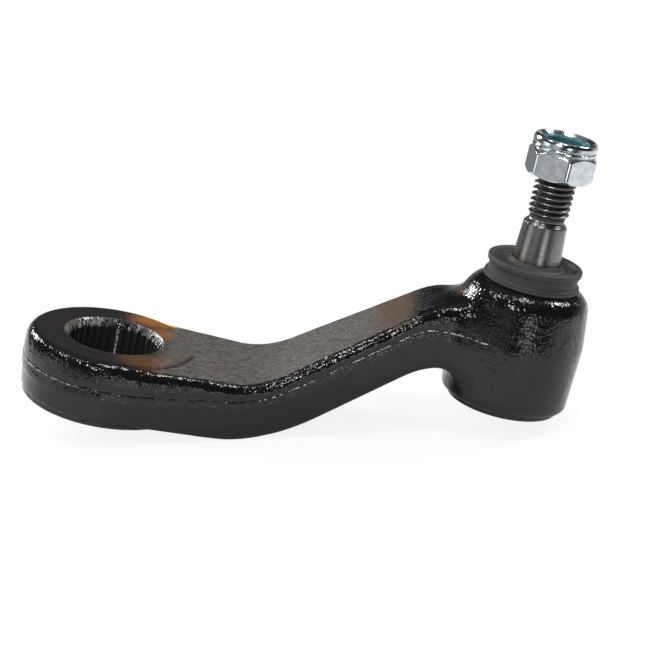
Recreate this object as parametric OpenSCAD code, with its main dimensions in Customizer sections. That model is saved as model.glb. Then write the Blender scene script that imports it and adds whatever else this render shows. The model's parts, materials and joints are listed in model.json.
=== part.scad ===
// Pitman arm with a ball stud, in millimetres.
// Origin: axis of the splined eye on its machined top face. +Z is the eye's axis, +X points at the ball joint.

/* [Eye] */
// Radius of the eye at the parting line
eye_r = 30.2; // [28.4:0.2:33]
// Thickness between the machined faces
eye_h = 22.9; // [20:0.1:26]
// Radius of the top machined face
face_r = 27.5; // [25:0.5:28]
// Radius of the bottom machined face
foot_r = 28.4; // [26:0.1:28.6]
// Height of the top machined face above the forging
face_step = 0.7; // [0.4:0.1:1.2]
// Height of the bottom machined face below the forging
foot_step = 1.2; // [0.6:0.1:1.6]

/* [Splined bore] */
// Teeth in one turn, counting those that the wide teeth take up
spline_count = 36; // [24:4:40]
// Radius at the tips of the teeth
spline_tip_r = 15.4; // [14:0.1:16.5]
// Radius at the roots of the teeth
spline_root_r = 16.2; // [15.2:0.1:17.5]
// Share of the pitch that a groove takes up at the tips
groove_share = 0.66; // [0.5:0.01:0.68]
// Share of the pitch that a groove takes up at the roots
root_share = 0.26; // [0.1:0.01:0.4]
// Width of the chamfer beyond the roots
bore_chamfer = 1.1; // [0.6:0.1:1.6]
// Angle between the chamfer and the eye's axis, in degrees
chamfer_angle = 33; // [28:1:45]

/* [Arm] */
// Distance between the eye's axis and the ball joint's axis
reach = 135.3; // [125:0.1:150]
// Half width of the arm at the parting line, beside the eye's axis
arm_half_w = 29.7; // [28:0.1:30.5]
// Half width that the arm loses for each millimetre of length
arm_taper = 0.132; // [0.11:0.002:0.145]
// Distance from the eye's axis to the lower bend, on the top
top_knee = 51.6; // [46:0.1:56]
// Distance from the eye's axis to the lower bend, underneath
foot_knee = 55.8; // [50:0.1:60]
// Slope of the top between the bends, in degrees
top_slope = 35.7; // [32:0.1:37]
// Slope of the underside between the bends, in degrees
foot_slope = 36.9; // [33:0.1:38]
// Thickness of the neck beside the housing
neck_h = 22.2; // [20:0.1:25]
// Depth of the neck's top below the housing's top
neck_drop = 10.1; // [8:0.1:13]
// Radius of the forging's upper edges
arm_edge_r = 3.6; // [2.5:0.1:5]
// Radius of the forging's lower edges
foot_edge_r = 1.8; // [1.4:0.1:3]

/* [Housing] */
// Height of the housing's top above the eye's top face
housing_top = 48.4; // [46:0.1:51]
// Height of the housing above the ring around its cover
housing_h = 42; // [40:0.1:44]
// Height of the ring around the cover
ring_h = 1.8; // [1:0.1:2.6]
// Wall of the ring around the cover
ring_wall = 1.7; // [1.2:0.1:2]
// Wall of the housing around the socket, at the parting line
housing_wall = 6.24; // [5.4:0.02:8]
// Depth of the parting line below the housing's top
housing_part = 18.9; // [16:0.1:22]
// Radius of the housing's shoulder
shoulder_r = 6; // [4:0.1:6.5]
// Radius of the housing's lower edge
rim_r = 2; // [1:0.1:2.4]
// Size of the concave blend between arm and housing
blend = 8; // [6:0.5:14]
// Size of the concave blend between arm and eye
eye_blend = 4; // [2:0.5:6]

/* [Ball joint] */
// Radius of the half ball
ball_r = 14.3; // [13.9:0.1:14.5]
// Depth of the ball's centre below the housing's top
ball_depth = 15.4; // [15:0.1:16]
// Tilt of the stud to either side, in degrees
tilt = 18; // [12:1:18]
// Height of the crown that is cut off the half ball
half_ball_cut = 4.3; // [3.9:0.1:5]
// Depth of the half ball below its centre
half_ball_down = 2; // [1:0.1:2.6]
// Wall of the bearing around the half ball
bearing_wall = 2.1; // [1.8:0.1:2.2]
// Depth of the bearing's top below the ball's crown
bearing_cut = 5.9; // [5.5:0.1:6.7]
// How far the rim of the stud's head lies inside the ball
head_inset = 1.9; // [1.5:0.1:3.3]
// Wall of the cup under the stud's head
cup_wall = 2.4; // [2:0.1:2.8]
// Depth of the cup's rim below the ball's centre
cup_down = 7.6; // [7:0.1:8.4]
// Bevel around the foot of the cup
cup_bevel = 2; // [1:0.1:2.4]
// Thickness of the cover plate
cover_t = 2.2; // [1.8:0.1:2.6]
// Thickness of the rolled lip that holds the cover
lip_t = 1.1; // [0.9:0.1:1.4]
// Width of the shoulder and of the lip around the cover
lip_w = 1.1; // [0.8:0.1:1.2]
// Depth of the dish in the middle of the cover plate
dish_h = 0.9; // [0.4:0.1:1]
// Radius of the spring at the middle of its wire
spring_r = 8.4; // [7:0.1:9.4]
// Diameter of the spring wire
wire_d = 2; // [1.6:0.1:2.2]
// Turns of the spring
spring_turns = 2.6; // [2:0.1:3]

/* [Stud] */
// Radius of the shank where the taper starts
shank_r = 8.7; // [8.2:0.05:8.7]
// Length of the taper
taper_l = 20.9; // [18:0.1:24]
// Radius lost for each millimetre of the taper
taper_rate = 0.0625; // [0.05:0.0005:0.08]
// Height of the taper's start above the housing's top
taper_start = 0.8; // [0.5:0.1:1.5]
// Length of the undercut above the taper
undercut_l = 2.6; // [2:0.1:4]
// Radius of the undercut
undercut_r = 6; // [5.5:0.1:6.3]
// Radius of the thread's crests
thread_r = 7; // [6.8:0.05:7.2]
// Length of the thread
thread_l = 22.6; // [20:0.1:24]
// Chamfer at the stud's tip
tip_chamfer = 1.2; // [0.8:0.1:1.6]

/* [Lock nut] */
// Width across the flats
nut_af = 21; // [20:0.5:24]
// Height of the nut with its collar
nut_h = 13.6; // [12.6:0.1:15]
// Height of the hexagon
hex_h = 9; // [8:0.1:9.6]
// Height of the hexagon's chamfers at its corners
hex_chamfer = 1.4; // [0.8:0.1:1.8]
// Outer radius of the collar
collar_r = 10.8; // [10.2:0.1:11]
// Distance of the nut's seat from the stud's tip
nut_seat = 9.6; // [9:0.1:11]
// Direction of one corner of the hexagon, in degrees
nut_turned = 37; // [0:1:59]
// Height of the nylon ring
insert_h = 3.2; // [2.6:0.1:3.6]
// Wall of the collar around the nylon ring
collar_wall = 1.4; // [1:0.1:1.8]
// Thickness of the rolled rim over the nylon ring
collar_roll = 1.1; // [0.8:0.1:1.4]

/* [Dust boot] */
// How far the boot's base lies inside the housing's side at the parting line
boot_inset = 6.3; // [6:0.1:7.2]
// Height of the boot's outer lip above the housing
boot_h = 7.4; // [6.5:0.1:9]
// Height of the rubber on the stud above the outer lip
boot_hug = 0.6; // [0:0.1:1]
// Depth of the waist between base and lip
boot_waist = 1.1; // [0.6:0.1:1.6]
// Depth of the dish between the outer lip and the stud
boot_dish = 1.3; // [0.6:0.1:1.8]
// Wall of the boot
boot_wall = 2; // [1.6:0.1:2.4]

/* [Clearances] */
// Radial clearance of pieces that turn in each other
running = 0.06; // [0.03:0.01:0.09]
// Clearance of spherical seats
seat_gap = 0.1; // [0.08:0.01:0.2]
// Gap between pieces that only lie close to each other
face_gap = 0.2; // [0.1:0.05:0.3]

/* [Hidden] */
$fn = 72;

// How far a cutting tool runs past the surface that it opens
past = 1;
// Draft of the forging's sides, as a slope
eye_draft = 0.09;
arm_draft = 0.1;
housing_draft_up = 0.12;
housing_draft_down = 0.04;
// Share of the thickness above the parting line, at the eye, along the arm and at the neck
part_eye = 0.43;
part_arm = 0.29;
part_neck = 0.40;
// Half lengths of the curved stretches at the bends
top_knee_bend = 9;
foot_knee_bend = 18;
top_crest_bend = 6;
foot_crest_bend = 8;
// Where the parting line leaves the eye's share, how long it takes at the crest, and its run-in to the housing
part_leave = 10;
part_cross = 14;
part_run_in = 4;

// Heights that follow from the sizes above
web_top = -face_step;
web_foot = -eye_h + foot_step;
neck_top = housing_top - neck_drop;
neck_foot = neck_top - neck_h;
housing_foot = housing_top - housing_h;
ring_foot = housing_foot - ring_h;
part_z = housing_top - housing_part;
ball_z = housing_top - ball_depth;
top_crest = top_knee + (neck_top - web_top) / tan(top_slope);
foot_crest = foot_knee + (neck_foot - web_foot) / tan(foot_slope);

// Radii and heights in the socket
seat_r = ball_r + seat_gap;
bearing_r = seat_r + bearing_wall;
socket_r = bearing_r + running;
housing_r = socket_r + housing_wall;
cover_r = socket_r + lip_w;
cover_foot = ring_foot + lip_t;
cover_top = cover_foot + cover_t;
bearing_up = ball_r - bearing_cut;
bearing_top = ball_z + bearing_up;
cup_foot = ball_z - seat_r - cup_wall;
cup_top = ball_z - cup_down;
bearing_foot = cup_top + face_gap;
half_ball_foot = ball_z - half_ball_down;
half_ball_top = ball_z + ball_r - half_ball_cut;

// Radius that the tilted shank needs at a height above the ball's centre
function swept_r(up) = shank_r / cos(tilt) + up * tan(tilt);
throat_r = swept_r(bearing_up) + face_gap;
mouth_r = swept_r(ball_depth) + 2 * face_gap;

// Heights along the stud
taper_z = housing_top + taper_start;
taper_top_r = shank_r - taper_l * taper_rate;
undercut_z = taper_z + taper_l;
thread_z = undercut_z + undercut_l;
tip_z = thread_z + thread_l;
nut_z = tip_z - nut_seat;
insert_z = nut_z + nut_h - insert_h - collar_roll;

// A ramp that starts at 0, rises one for one and has a curved start of half length b
function ramp(u, b) = u <= -b ? 0 : u >= b ? u : (u + b) * (u + b) / (4 * b);

// A smooth step from 0 to 1 as u goes from 0 to 1
function ease(u) = let(t = min(max(u, 0), 1)) t * t * (3 - 2 * t);

// Top, underside and parting line of the arm along its length
function top_at(x) = web_top
    + tan(top_slope) * (ramp(x - top_knee, top_knee_bend) - ramp(x - top_crest, top_crest_bend));
function foot_at(x) = web_foot
    + tan(foot_slope) * (ramp(x - foot_knee, foot_knee_bend) - ramp(x - foot_crest, foot_crest_bend));
function part_share(x) = part_eye + (part_arm - part_eye) * ease((x - part_leave) / (top_knee - part_leave))
    + (part_neck - part_arm) * ease((x - top_crest) / part_cross + 0.5);
function part_at(x) = let(
        web = top_at(x) - part_share(x) * (top_at(x) - foot_at(x)),
        near = ease((x - reach + housing_r + part_run_in) / housing_r)
    ) web + (part_z - web) * near;

// Union of two distances with a concave blend of size k between them
function blended(a, b, k) = let(h = max(k - abs(a - b), 0)) min(a, b) - h * h / (4 * k);

// Intersection of two distances with an edge of radius r between them
function edged(a, b, r) = min(max(a, b) + r, 0) + norm([max(a + r, 0), max(b + r, 0)]) - r;

// Signed distance to the surface of the forging, without its machined faces and bores
function arm_d(p) = let(
        part = part_at(p.x),
        eye = norm([p.x, p.y]) - eye_r + abs(p.z - part) * eye_draft,
        half_w = arm_half_w - arm_taper * p.x - abs(p.z - part) * arm_draft,
        side = max(abs(p.y) - half_w, -p.x),
        joined = 0.01 + eye_blend * ease(2 * p.x / eye_r),
        over = (p.z - top_at(p.x)) * (p.x > top_knee && p.x < top_crest ? cos(top_slope) : 1),
        under = (foot_at(p.x) - p.z) * (p.x > foot_knee && p.x < foot_crest ? cos(foot_slope) : 1)
    ) max(edged(blended(eye, side, joined), max(over, under), p.z > part ? arm_edge_r : foot_edge_r), p.x - reach);
function housing_d(p) = let(
        draft = p.z > part_z ? housing_draft_up : housing_draft_down,
        wall = norm([p.x - reach, p.y]) - housing_r + abs(p.z - part_z) * draft
    ) max(edged(wall, p.z - housing_top, shoulder_r), edged(wall, housing_foot - p.z, rim_r));
function forging_d(p) = blended(arm_d(p), housing_d(p), blend);

// Where a ray from inside the forging meets its surface
function skin_at(from, dir, near = 0, far = 60, tries = 15) =
    tries == 0 ? from + (near + far) / 2 * dir
    : let(middle = (near + far) / 2)
    forging_d(from + middle * dir) < 0
        ? skin_at(from, dir, middle, far, tries - 1)
        : skin_at(from, dir, near, middle, tries - 1);

// One quarter of a ring around the forging, from its middle line to its parting line
flat_steps = [0, 0.35, 0.7];
fan_steps = [2, 1.75, 1.55, 1.38, 1.24, 1.12, 1.01, 0.9, 0.78, 0.62, 0.4, 0.18];
fan_reach = 8;
function quarter(x, up) = let(
        part = part_at(x),
        half_w = skin_at([x, 0, part], [0, 1, 0]).y,
        fan_y = half_w - min(0.6 * half_w, fan_reach),
        rim = skin_at([x, fan_y, part], [0, 0, up]),
        corner = atan2(abs(rim.z - part), half_w - fan_y)
    ) concat(
        [for (s = flat_steps) skin_at([x, fan_y * s, part], [0, 0, up])],
        [for (s = fan_steps)
            let(a = s < 1 ? s * corner : corner + (s - 1) * (90 - corner))
            skin_at([x, fan_y, part], [0, cos(a), up * sin(a)])]
    );
function reversed(list) = [for (i = [len(list) - 1:-1:0]) list[i]];
function ring(x) = let(
        side = concat(quarter(x, 1), [skin_at([x, 0, part_at(x)], [0, 1, 0])], reversed(quarter(x, -1))),
        last = len(side) - 1
    ) concat(side, [for (i = [last - 1:-1:1]) [x, -side[i].y, side[i].z]]);

// A closed skin through rings of equally many points
module skin(rings) {
    size = len(rings[0]);
    last = len(rings) - 1;
    sides = [for (i = [0:last - 1], j = [0:size - 1])
        let(k = (j + 1) % size)
        each [
            [i * size + j, (i + 1) * size + k, (i + 1) * size + j],
            [i * size + j, i * size + k, (i + 1) * size + k]
        ]];
    ends = [
        [for (j = [size - 1:-1:0]) j],
        [for (j = [0:size - 1]) last * size + j]
    ];
    polyhedron([for (r = rings) each r], concat(sides, ends), convexity = 6);
}

// The raw forging: rings set close at its round ends and evenly along the arm
end_turns = [3, 7, 12, 18, 25, 33, 41, 50, 59, 68, 77, 85];
ring_step = 3.6;
module forging() {
    neck_end = reach - housing_r - 0.4;
    count = ceil(neck_end / ring_step);
    stations = concat(
        [for (a = end_turns) -eye_r * cos(a)],
        [for (i = [0:count]) neck_end * i / count],
        [for (a = end_turns) reach - housing_r * cos(a)],
        [for (a = reversed(end_turns)) reach + housing_r * cos(a)]
    );
    skin([for (x = stations) ring(x)]);
}

// A groove between two spline teeth, pointing along +X
module groove() {
    pitch = 2 * PI * spline_tip_r / spline_count;
    tip_w = pitch * groove_share;
    root_w = pitch * root_share;
    inner = spline_tip_r - past / 2;
    translate([0, 0, -eye_h - past])
        linear_extrude(eye_h + 2 * past)
            polygon([[inner, -tip_w / 2], [spline_tip_r, -tip_w / 2], [spline_root_r, -root_w / 2],
                [spline_root_r, root_w / 2], [spline_tip_r, tip_w / 2], [inner, tip_w / 2]]);
}

// The splined bore with its chamfers; each quarter turn has one wide tooth
module splined_bore() {
    wide_every = spline_count / 4;
    chamfer_r = spline_root_r + bore_chamfer;
    depth = (chamfer_r - spline_tip_r) / tan(chamfer_angle);
    flare = past * tan(chamfer_angle);
    translate([0, 0, -eye_h - past])
        cylinder(r = spline_tip_r, h = eye_h + 2 * past);
    for (i = [0:spline_count - 1])
        if (i % wide_every != 0)
            rotate(i * 360 / spline_count)
                groove();
    translate([0, 0, -depth])
        cylinder(r1 = spline_tip_r, r2 = chamfer_r + flare, h = depth + past);
    translate([0, 0, -eye_h - past])
        cylinder(r1 = chamfer_r + flare, r2 = spline_tip_r, h = depth + past);
}

// Ring below the housing, whose lip is rolled over the cover
module cover_ring() {
    ring_r = cover_r + ring_wall;
    rolled = lip_t / 2;
    translate([reach, 0, 0])
        rotate_extrude()
            polygon([
                [0, ring_foot],
                [ring_r - rolled, ring_foot],
                [ring_r, ring_foot + rolled],
                [ring_r, housing_foot + past],
                [0, housing_foot + past]
            ]);
}

// The socket: mouth, throat, bearing seat and the counterbore for the cover
module socket_cavity() {
    translate([reach, 0, 0])
        rotate_extrude()
            polygon([
                [0, ring_foot - past],
                [cover_r - lip_w, ring_foot - past],
                [cover_r - lip_w, cover_foot],
                [cover_r, cover_foot],
                [cover_r, cover_top],
                [socket_r, cover_top],
                [socket_r, bearing_top + face_gap],
                [throat_r + 2 * face_gap, bearing_top + face_gap],
                [mouth_r, housing_top],
                [mouth_r, housing_top + past],
                [0, housing_top + past]
            ]);
}

module arm_forging() {
    color([0.07, 0.07, 0.075])
        difference() {
            union() {
                forging();
                cover_ring();
                translate([0, 0, -eye_h / 2])
                    cylinder(r = face_r, h = eye_h / 2, $fn = 120);
                translate([0, 0, -eye_h])
                    cylinder(r = foot_r, h = foot_step + 1, $fn = 120);
            }
            splined_bore();
            socket_cavity();
        }
}

// Bearing over the half ball: a ring with a spherical seat
module socket_bearing() {
    color([0.85, 0.83, 0.74])
        translate([reach, 0, 0])
            difference() {
                translate([0, 0, bearing_foot])
                    cylinder(r = bearing_r, h = bearing_top - bearing_foot);
                translate([0, 0, ball_z])
                    sphere(r = seat_r);
                translate([0, 0, bearing_foot - past])
                    cylinder(r = seat_r, h = ball_z - bearing_foot + past);
                translate([0, 0, ball_z])
                    cylinder(r = throat_r, h = bearing_top - ball_z + past);
            }
}

// Cup that carries the stud's domed head and takes the push of the spring
module pressure_cup() {
    color([0.55, 0.56, 0.58])
        translate([reach, 0, 0])
            difference() {
                union() {
                    translate([0, 0, cup_foot + cup_bevel])
                        cylinder(r = bearing_r, h = cup_top - cup_foot - cup_bevel);
                    translate([0, 0, cup_foot])
                        cylinder(r1 = bearing_r - cup_bevel, r2 = bearing_r, h = cup_bevel);
                }
                translate([0, 0, ball_z])
                    sphere(r = seat_r);
            }
}

// A round wire along a coil whose two end turns lie flat
module coil(r, wire, foot, top, turns) {
    steps_per_turn = 24;
    sides = 8;
    steps = ceil(turns * steps_per_turn);
    low = foot + wire / 2;
    rise = top - foot - wire;
    skin([for (i = [0:steps])
        let(turn = i / steps_per_turn, z = low + rise * ease((turn - 0.4) / (turns - 0.8)))
        [for (j = [0:sides - 1])
            let(a = 360 * turn, b = 360 * j / sides + 22.5, rr = r + wire / 2 * cos(b))
            [rr * cos(a), rr * sin(a), z + wire / 2 * sin(b)]]]);
}

module preload_spring() {
    color([0.5, 0.5, 0.52])
        translate([reach, 0, 0])
            coil(spring_r, wire_d, cover_top, cup_foot - face_gap, spring_turns);
}

// Pressed cover, dished in the middle and held by the rolled lip
module cover_plate() {
    dish_r = spring_r - wire_d / 2 - 2 * face_gap;
    color([0.1, 0.1, 0.105])
        translate([reach, 0, 0])
            rotate_extrude()
                polygon([
                    [0, cover_foot + dish_h],
                    [dish_r - dish_h, cover_foot + dish_h],
                    [dish_r, cover_foot],
                    [cover_r, cover_foot],
                    [cover_r, cover_top],
                    [dish_r, cover_top],
                    [dish_r - dish_h, cover_top + dish_h],
                    [0, cover_top + dish_h]
                ]);
}

// Upper half of the ball, which tilts in the bearing while the stud turns in it
module half_ball() {
    color([0.6, 0.6, 0.62])
        translate([reach, 0, 0])
            difference() {
                translate([0, 0, ball_z])
                    sphere(r = ball_r);
                translate([0, 0, half_ball_foot - 2 * ball_r])
                    cylinder(r = 2 * ball_r, h = 2 * ball_r);
                translate([0, 0, half_ball_top])
                    cylinder(r = 2 * ball_r, h = 2 * ball_r);
                translate([0, 0, half_ball_foot - past])
                    cylinder(r = shank_r + running, h = half_ball_top - half_ball_foot + 2 * past);
            }
}

// Stud with its domed head, shank, taper, undercut and thread
module tapered_stud() {
    head_r = ball_r - head_inset;
    head_top = half_ball_foot - face_gap / 2;
    head_foot = ball_z - sqrt(ball_r * ball_r - head_r * head_r);
    dome_foot = ball_z - ball_r;
    shoulder = taper_top_r - undercut_r;
    runout = thread_r - undercut_r;
    color([0.62, 0.62, 0.63])
        translate([reach, 0, 0]) {
            rotate_extrude()
                polygon([
                    [0, head_foot],
                    [head_r, head_foot],
                    [head_r, head_top],
                    [shank_r, head_top],
                    [shank_r, taper_z],
                    [taper_top_r, undercut_z - shoulder / 2],
                    [undercut_r, undercut_z + shoulder / 2],
                    [undercut_r, thread_z - runout],
                    [thread_r, thread_z],
                    [thread_r, tip_z - tip_chamfer],
                    [thread_r - tip_chamfer, tip_z],
                    [0, tip_z]
                ]);
            intersection() {
                translate([0, 0, ball_z])
                    sphere(r = ball_r);
                translate([0, 0, dome_foot - past])
                    cylinder(r = head_r, h = head_foot - dome_foot + 2 * past);
            }
        }
}

// How far the housing's shoulder has fallen at a radius around the ball joint's axis
function shoulder_drop(r) = let(
        start = housing_r - (housing_top - part_z) * housing_draft_up - shoulder_r,
        out = max(r - start, 0)
    ) shoulder_r - sqrt(shoulder_r * shoulder_r - out * out);

// Rubber boot: ribbed flange on the housing, waist, outer lip and a dish that climbs up the stud
module dust_boot() {
    boot_r = housing_r - boot_inset;
    waist_r = boot_r - boot_waist;
    lip_r = boot_r - 0.2;
    lip_in = boot_r - 2.2;
    hug_z = boot_h + boot_hug;
    hug_top_r = shank_r - (hug_z - taper_start) * taper_rate + face_gap;
    hug_foot_r = hug_top_r + boot_wall * taper_rate;
    dish_r = (hug_top_r + lip_in) / 2;
    dish_z = boot_h - boot_dish;
    rib = 0.2;
    flange_h = 8 * rib;
    band_z = boot_h - 2.2;
    color([0.14, 0.14, 0.145])
        translate([reach, 0, housing_top])
            rotate_extrude()
                polygon(concat(
                    [for (r = [mouth_r, (mouth_r + boot_r) / 2, boot_r - rib]) [r, running - shoulder_drop(r)]],
                    [[boot_r, rib], [boot_r, 4 * rib]],
                    [[boot_r - rib, 5 * rib], [boot_r - rib / 2, 6 * rib], [boot_r - 2 * rib, flange_h]],
                    [for (a = [0:15:90]) [waist_r + (1 - sin(a)) * 3 * rib, flange_h + a / 18 * rib]],
                    [[waist_r, band_z - 3 * rib], [waist_r + rib, band_z - rib], [lip_r - 2 * rib, band_z]],
                    [[lip_r - 3 * rib, band_z + rib], [lip_r - rib, band_z + 2.5 * rib]],
                    [for (a = [0:15:90]) [lip_r - 1 + cos(a), boot_h - 1 + sin(a)]],
                    [[lip_in, boot_h], [dish_r + 1, dish_z], [dish_r - 1, dish_z]],
                    [[hug_top_r + 2 * rib, hug_z - rib], [hug_top_r, hug_z], [hug_foot_r, hug_z - boot_wall]],
                    [[dish_r, dish_z - boot_wall], [waist_r - boot_wall, dish_z - boot_wall - 1]],
                    [[mouth_r - 3 * rib, 6 * rib]]
                ));
}

// Hexagon nut whose rolled collar holds the nylon ring
module lock_nut() {
    flat_r = nut_af / 2;
    corner_r = flat_r / cos(30);
    broken_r = corner_r - 0.2;
    slope = hex_chamfer / (corner_r - flat_r);
    insert_r = collar_r - collar_wall;
    rim_foot_r = insert_r - collar_roll;
    collar_h = nut_h - hex_h;
    bead = 0.25;
    rim_round = 1.1;
    color([0.72, 0.76, 0.8])
        translate([reach, 0, nut_z])
            rotate(nut_turned)
                difference() {
                    union() {
                        intersection() {
                            cylinder(r = corner_r, h = hex_h, $fn = 6);
                            rotate_extrude()
                                polygon([
                                    [0, 0],
                                    [flat_r, 0],
                                    [broken_r, slope * (broken_r - flat_r)],
                                    [broken_r, hex_h - slope * (broken_r - flat_r)],
                                    [flat_r, hex_h],
                                    [0, hex_h]
                                ]);
                        }
                        rotate_extrude()
                            polygon(concat(
                                [[0, hex_h - 1], [collar_r - 2 * bead, hex_h - 1], [collar_r - 2 * bead, hex_h]],
                                [for (a = [-60:20:60])
                                    [collar_r - bead * (1 - cos(a)), hex_h + collar_h * (0.18 + 0.13 * sin(a))]],
                                [[collar_r - 1.2 * bead, hex_h + 0.36 * collar_h]],
                                [for (a = [-40:20:0])
                                    [collar_r - (1 - cos(a)), nut_h - collar_h * (0.42 - 0.2 * sin(a))]],
                                [for (a = [0:15:90])
                                    [collar_r - rim_round * (1 - cos(a)), nut_h - 0.33 * collar_h * (1 - sin(a))]],
                                [[0, nut_h]]
                            ));
                    }
                    translate([0, 0, -past])
                        cylinder(r = thread_r + running, h = nut_h + 2 * past);
                    translate([0, 0, -past])
                        cylinder(r1 = thread_r + 1 + past, r2 = thread_r, h = 1 + past);
                    translate([0, 0, insert_z - nut_z])
                        cylinder(r = insert_r, h = insert_h);
                    translate([0, 0, nut_h - collar_roll - face_gap])
                        cylinder(r1 = rim_foot_r, r2 = insert_r + face_gap, h = collar_roll + 2 * face_gap);
                }
}

module nylon_insert() {
    color([0.1, 0.45, 0.55])
        translate([reach, 0, insert_z])
            difference() {
                cylinder(r = collar_r - collar_wall - running, h = insert_h - face_gap / 2);
                translate([0, 0, -past])
                    cylinder(r = thread_r + running, h = insert_h + 2 * past);
            }
}

arm_forging();
socket_bearing();
pressure_cup();
preload_spring();
cover_plate();
half_ball();
tapered_stud();
dust_boot();
lock_nut();
nylon_insert();
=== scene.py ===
import json
import math

import bmesh
import bpy
import numpy as np
from mathutils import Matrix, Vector, noise


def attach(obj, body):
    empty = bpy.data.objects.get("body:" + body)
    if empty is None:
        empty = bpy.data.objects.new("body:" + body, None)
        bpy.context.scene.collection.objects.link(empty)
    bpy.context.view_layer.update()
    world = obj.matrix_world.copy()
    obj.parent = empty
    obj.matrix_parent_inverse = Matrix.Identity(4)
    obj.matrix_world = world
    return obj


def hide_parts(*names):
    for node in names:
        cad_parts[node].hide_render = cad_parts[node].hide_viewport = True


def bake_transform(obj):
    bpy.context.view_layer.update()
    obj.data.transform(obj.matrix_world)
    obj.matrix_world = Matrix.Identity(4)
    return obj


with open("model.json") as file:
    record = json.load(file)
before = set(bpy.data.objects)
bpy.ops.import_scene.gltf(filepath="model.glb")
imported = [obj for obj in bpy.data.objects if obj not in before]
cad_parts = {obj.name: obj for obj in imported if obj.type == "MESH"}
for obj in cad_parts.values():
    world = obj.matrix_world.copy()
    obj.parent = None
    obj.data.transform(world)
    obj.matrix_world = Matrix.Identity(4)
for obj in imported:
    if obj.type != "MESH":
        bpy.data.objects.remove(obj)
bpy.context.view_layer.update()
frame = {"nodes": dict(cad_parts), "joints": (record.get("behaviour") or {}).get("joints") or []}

# The camera stands where the photograph was taken, 0.64 m away with a long lens. The arm lies tipped over
# on its knee and the rim of its housing, so the camera is rolled against the arm's own axes.
mm = 0.001
camera_azimuth = math.radians(-3.16)
camera_elevation = math.radians(18.6)
camera_roll = math.radians(-12.27)
camera_distance = 637.8 * mm
camera_target = Vector((71.3, 0, 17.8)) * mm
camera_view = math.radians(20)

back = Vector((
    math.sin(camera_azimuth) * math.cos(camera_elevation),
    -math.cos(camera_azimuth) * math.cos(camera_elevation),
    math.sin(camera_elevation),
))
level_right = Vector((math.cos(camera_azimuth), math.sin(camera_azimuth), 0))
level_up = back.cross(level_right)
camera_right = level_right * math.cos(camera_roll) - level_up * math.sin(camera_roll)
camera_up = level_right * math.sin(camera_roll) + level_up * math.cos(camera_roll)


def turned(right, up, toward, place):
    """A matrix whose X, Y and Z axes are right, up and toward, set at place."""
    turn = Matrix((right, up, toward)).transposed().to_4x4()
    turn.translation = place
    return turn


def added(name, data):
    """A new object in the scene."""
    thing = bpy.data.objects.new(name, data)
    bpy.context.scene.collection.objects.link(thing)
    return thing


camera_data = bpy.data.cameras.new("camera")
camera_data.sensor_width = 36
camera_data.lens = 18 / math.tan(camera_view / 2)
camera_data.clip_start = 0.01
camera = added("camera", camera_data)
camera.matrix_world = turned(camera_right, camera_up, back, camera_target + camera_distance * back)
bpy.context.scene.camera = camera
bpy.context.scene.view_settings.view_transform = "Standard"


# The arm is one drop forging: an eye, a cranked arm and a socket housing. Its sides taper away from the
# parting line, where the trimmed flash shows. The eye's faces, its splined bore and the socket are machined.
# It is dipped in black paint, which lies thin on the eye and on the arm's top, where it has browned.
reach = frame["joints"][0]["pos_m"][0] / mm
ball_z = frame["joints"][0]["pos_m"][2] / mm
eye_r = 30.2
eye_h = 22.9
boss_r, boss_edge_r, boss_blend = 29.3, 3.0, 0.9
foot_r = 28.4
face_step, foot_step = 0.7, 1.2
arm_half_w = 29.7
arm_taper = 0.132
top_knee, foot_knee = 51.6, 55.8
top_slope, foot_slope = math.tan(math.radians(35.7)), math.tan(math.radians(36.9))
housing_top, housing_foot, ring_foot = 48.4, 6.4, 4.6
neck_top, neck_foot = 38.3, 16.1
housing_r = 22.8
part_z = 29.5
arm_edge_r, foot_edge_r, shoulder_r, rim_r = 3.6, 1.8, 6.0, 2.0
blend_size, eye_blend = 8.0, 4.0
eye_draft, arm_draft, housing_draft_up, housing_draft_down = 0.09, 0.1, 0.12, 0.04
part_eye, part_arm, part_neck = 0.43, 0.29, 0.40
part_leave, part_cross, part_run_in, part_round = 10, 14, 4, 0.8
top_knee_bend, foot_knee_bend, top_crest_bend, foot_crest_bend = 9, 18, 6, 8
web_top, web_foot = -face_step, foot_step - eye_h
top_crest = top_knee + (neck_top - web_top) / top_slope
foot_crest = foot_knee + (neck_foot - web_foot) / foot_slope


def bend(u, half):
    """Starts at 0 and rises one for one, with a curved start of half length half."""
    return np.where(u <= -half, 0, np.where(u >= half, u, (u + half) ** 2 / (4 * half)))


def ease(u):
    t = np.clip(u, 0, 1)
    return t * t * (3 - 2 * t)


def top_at(x):
    rise = bend(x - top_knee, top_knee_bend) - bend(x - top_crest, top_crest_bend)
    return web_top + top_slope * rise


def foot_at(x):
    rise = bend(x - foot_knee, foot_knee_bend) - bend(x - foot_crest, foot_crest_bend)
    return web_foot + foot_slope * rise


def part_at(x):
    share = part_eye + (part_arm - part_eye) * ease((x - part_leave) / (top_knee - part_leave))
    share = share + (part_neck - part_arm) * ease((x - top_crest) / part_cross + 0.5)
    web = top_at(x) - share * (top_at(x) - foot_at(x))
    near = ease((x - reach + housing_r + part_run_in) / housing_r)
    return web + (part_z - web) * near


def blended(a, b, size):
    """The union of two distances, with a concave blend between them."""
    return np.minimum(a, b) - np.maximum(size - np.abs(a - b), 0) ** 2 / (4 * size)


def edged(a, b, radius):
    """The intersection of two distances, with a rounded edge between them."""
    outside = np.hypot(np.maximum(a + radius, 0), np.maximum(b + radius, 0))
    return np.minimum(np.maximum(a, b) + radius, 0) + outside - radius


def from_line(u):
    """The distance from the parting line, rounded as the paint rounds the edge there."""
    return np.sqrt(u * u + part_round * part_round) - part_round


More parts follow.
